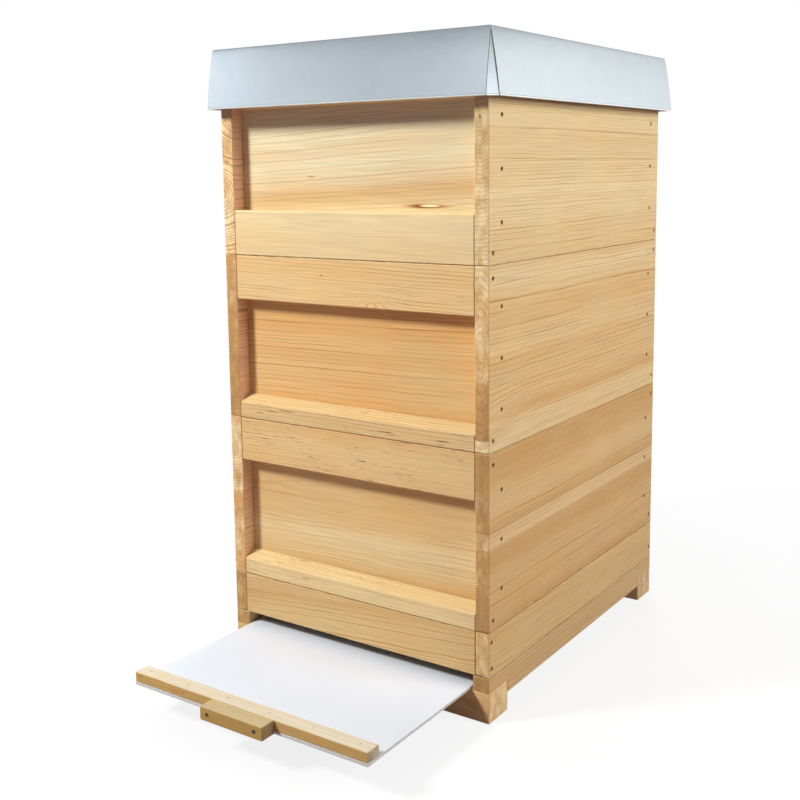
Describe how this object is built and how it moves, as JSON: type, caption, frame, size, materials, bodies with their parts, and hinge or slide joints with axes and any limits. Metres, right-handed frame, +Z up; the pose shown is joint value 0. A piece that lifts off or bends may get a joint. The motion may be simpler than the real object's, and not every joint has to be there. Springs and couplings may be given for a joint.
{
  "type": "german beehive",
  "caption": "Stacking wooden beehive with recessed box ends, a mesh floor with a pull-out inspection tray, hanging frames, an insulated inner cover and a flared sheet-metal roof.",
  "frame": {"origin": "on the ground, at the middle of the rectangle that the hive covers in plan with its roof on and its tray pulled out as stored", "axes": "+X across the hive, +Y from the tray end to the bee entrance, +Z up"},
  "size_m": [0.456, 0.786, 0.851],
  "materials": {
    "pine_side": "planed pine, grain along the board",
    "pine_end": "planed pine, grain across the hive",
    "pine_floor": "planed pine, grain along the piece",
    "pine_batten": "planed pine strip",
    "frame_wood": "fine planed limewood",
    "plywood": "thin plywood",
    "fibre_board": "soft wood-fibre insulation",
    "galvanised_sheet": "galvanised, satin",
    "tray_plastic": "white, satin",
    "mesh_steel": "galvanised wire",
    "nail_steel": "dull steel"
  },
  "bodies": {
    "floor": {"floor_tray_end_runner": "pine_floor", "floor_entrance_end_runner": "pine_floor", "floor_left_lower_rail": "pine_floor", "floor_right_lower_rail": "pine_floor", "floor_left_side": "pine_floor", "floor_right_side": "pine_floor", "floor_tray_end_rail": "pine_end", "floor_entrance_sill": "pine_end", "floor_mesh_screen": "mesh_steel", "floor_nails": "nail_steel"},
    "entrance_block": {"entrance_block": "pine_end"},
    "tray": {"tray_sheet": "tray_plastic", "tray_batten": "pine_batten", "tray_handle": "pine_batten", "tray_nails": "nail_steel"},
    "bottom_box": {"bottom_box_left_side": "pine_side", "bottom_box_right_side": "pine_side", "bottom_box_tray_end_panel": "pine_end", "bottom_box_tray_end_grip_rail": "pine_end", "bottom_box_tray_end_drip_rail": "pine_end", "bottom_box_entrance_end_panel": "pine_end", "bottom_box_entrance_end_grip_rail": "pine_end", "bottom_box_entrance_end_drip_rail": "pine_end", "bottom_box_nails": "nail_steel"},
    "bottom_box_frames": {"bottom_box_frame_top_bars": "frame_wood", "bottom_box_frame_side_bars": "frame_wood", "bottom_box_frame_bottom_bars": "frame_wood"},
    "middle_box": {"middle_box_left_side": "pine_side", "middle_box_right_side": "pine_side", "middle_box_tray_end_panel": "pine_end", "middle_box_tray_end_grip_rail": "pine_end", "middle_box_tray_end_drip_rail": "pine_end", "middle_box_entrance_end_panel": "pine_end", "middle_box_entrance_end_grip_rail": "pine_end", "middle_box_entrance_end_drip_rail": "pine_end", "middle_box_nails": "nail_steel"},
    "middle_box_frames": {"middle_box_frame_top_bars": "frame_wood", "middle_box_frame_side_bars": "frame_wood", "middle_box_frame_bottom_bars": "frame_wood"},
    "top_box": {"top_box_left_side": "pine_side", "top_box_right_side": "pine_side", "top_box_tray_end_panel": "pine_end", "top_box_tray_end_grip_rail": "pine_end", "top_box_tray_end_drip_rail": "pine_end", "top_box_entrance_end_panel": "pine_end", "top_box_entrance_end_grip_rail": "pine_end", "top_box_entrance_end_drip_rail": "pine_end", "top_box_nails": "nail_steel"},
    "inner_cover": {"inner_cover_base": "plywood", "inner_cover_top": "plywood", "inner_cover_left_batten": "pine_batten", "inner_cover_right_batten": "pine_batten", "inner_cover_tray_end_batten": "pine_batten", "inner_cover_entrance_end_batten": "pine_batten", "inner_cover_insulation": "fibre_board", "inner_cover_nails": "nail_steel"},
    "roof": {"roof_cover": "galvanised_sheet"}
  },
  "joints": [
    {"name": "tray_slide", "type": "slide", "parent": "floor", "child": "tray", "axis": [0, -1, 0], "range_m": [-0.22, 0.24]},
    {"name": "entrance_block_slide", "type": "slide", "parent": "floor", "child": "entrance_block", "axis": [0, 1, 0], "range_m": [0, 0.06]},
    {"name": "bottom_box_lift", "type": "slide", "parent": "floor", "child": "bottom_box", "axis": [0, 0, 1], "range_m": [0, 0.25]},
    {"name": "bottom_box_frames_shift", "type": "slide", "parent": "bottom_box", "child": "bottom_box_frames", "axis": [1, 0, 0], "range_m": [-0.01, 0.01]},
    {"name": "middle_box_frames_shift", "type": "slide", "parent": "middle_box", "child": "middle_box_frames", "axis": [1, 0, 0], "range_m": [-0.01, 0.01]},
    {"name": "middle_box_lift", "type": "slide", "parent": "bottom_box", "child": "middle_box", "axis": [0, 0, 1], "range_m": [0, 0.25]},
    {"name": "top_box_lift", "type": "slide", "parent": "middle_box", "child": "top_box", "axis": [0, 0, 1], "range_m": [0, 0.25]},
    {"name": "inner_cover_lift", "type": "slide", "parent": "top_box", "child": "inner_cover", "axis": [0, 0, 1], "range_m": [0, 0.25]},
    {"name": "roof_lift", "type": "slide", "parent": "inner_cover", "child": "roof", "axis": [0, 0, 1], "range_m": [0, 0.25]}
  ]
}
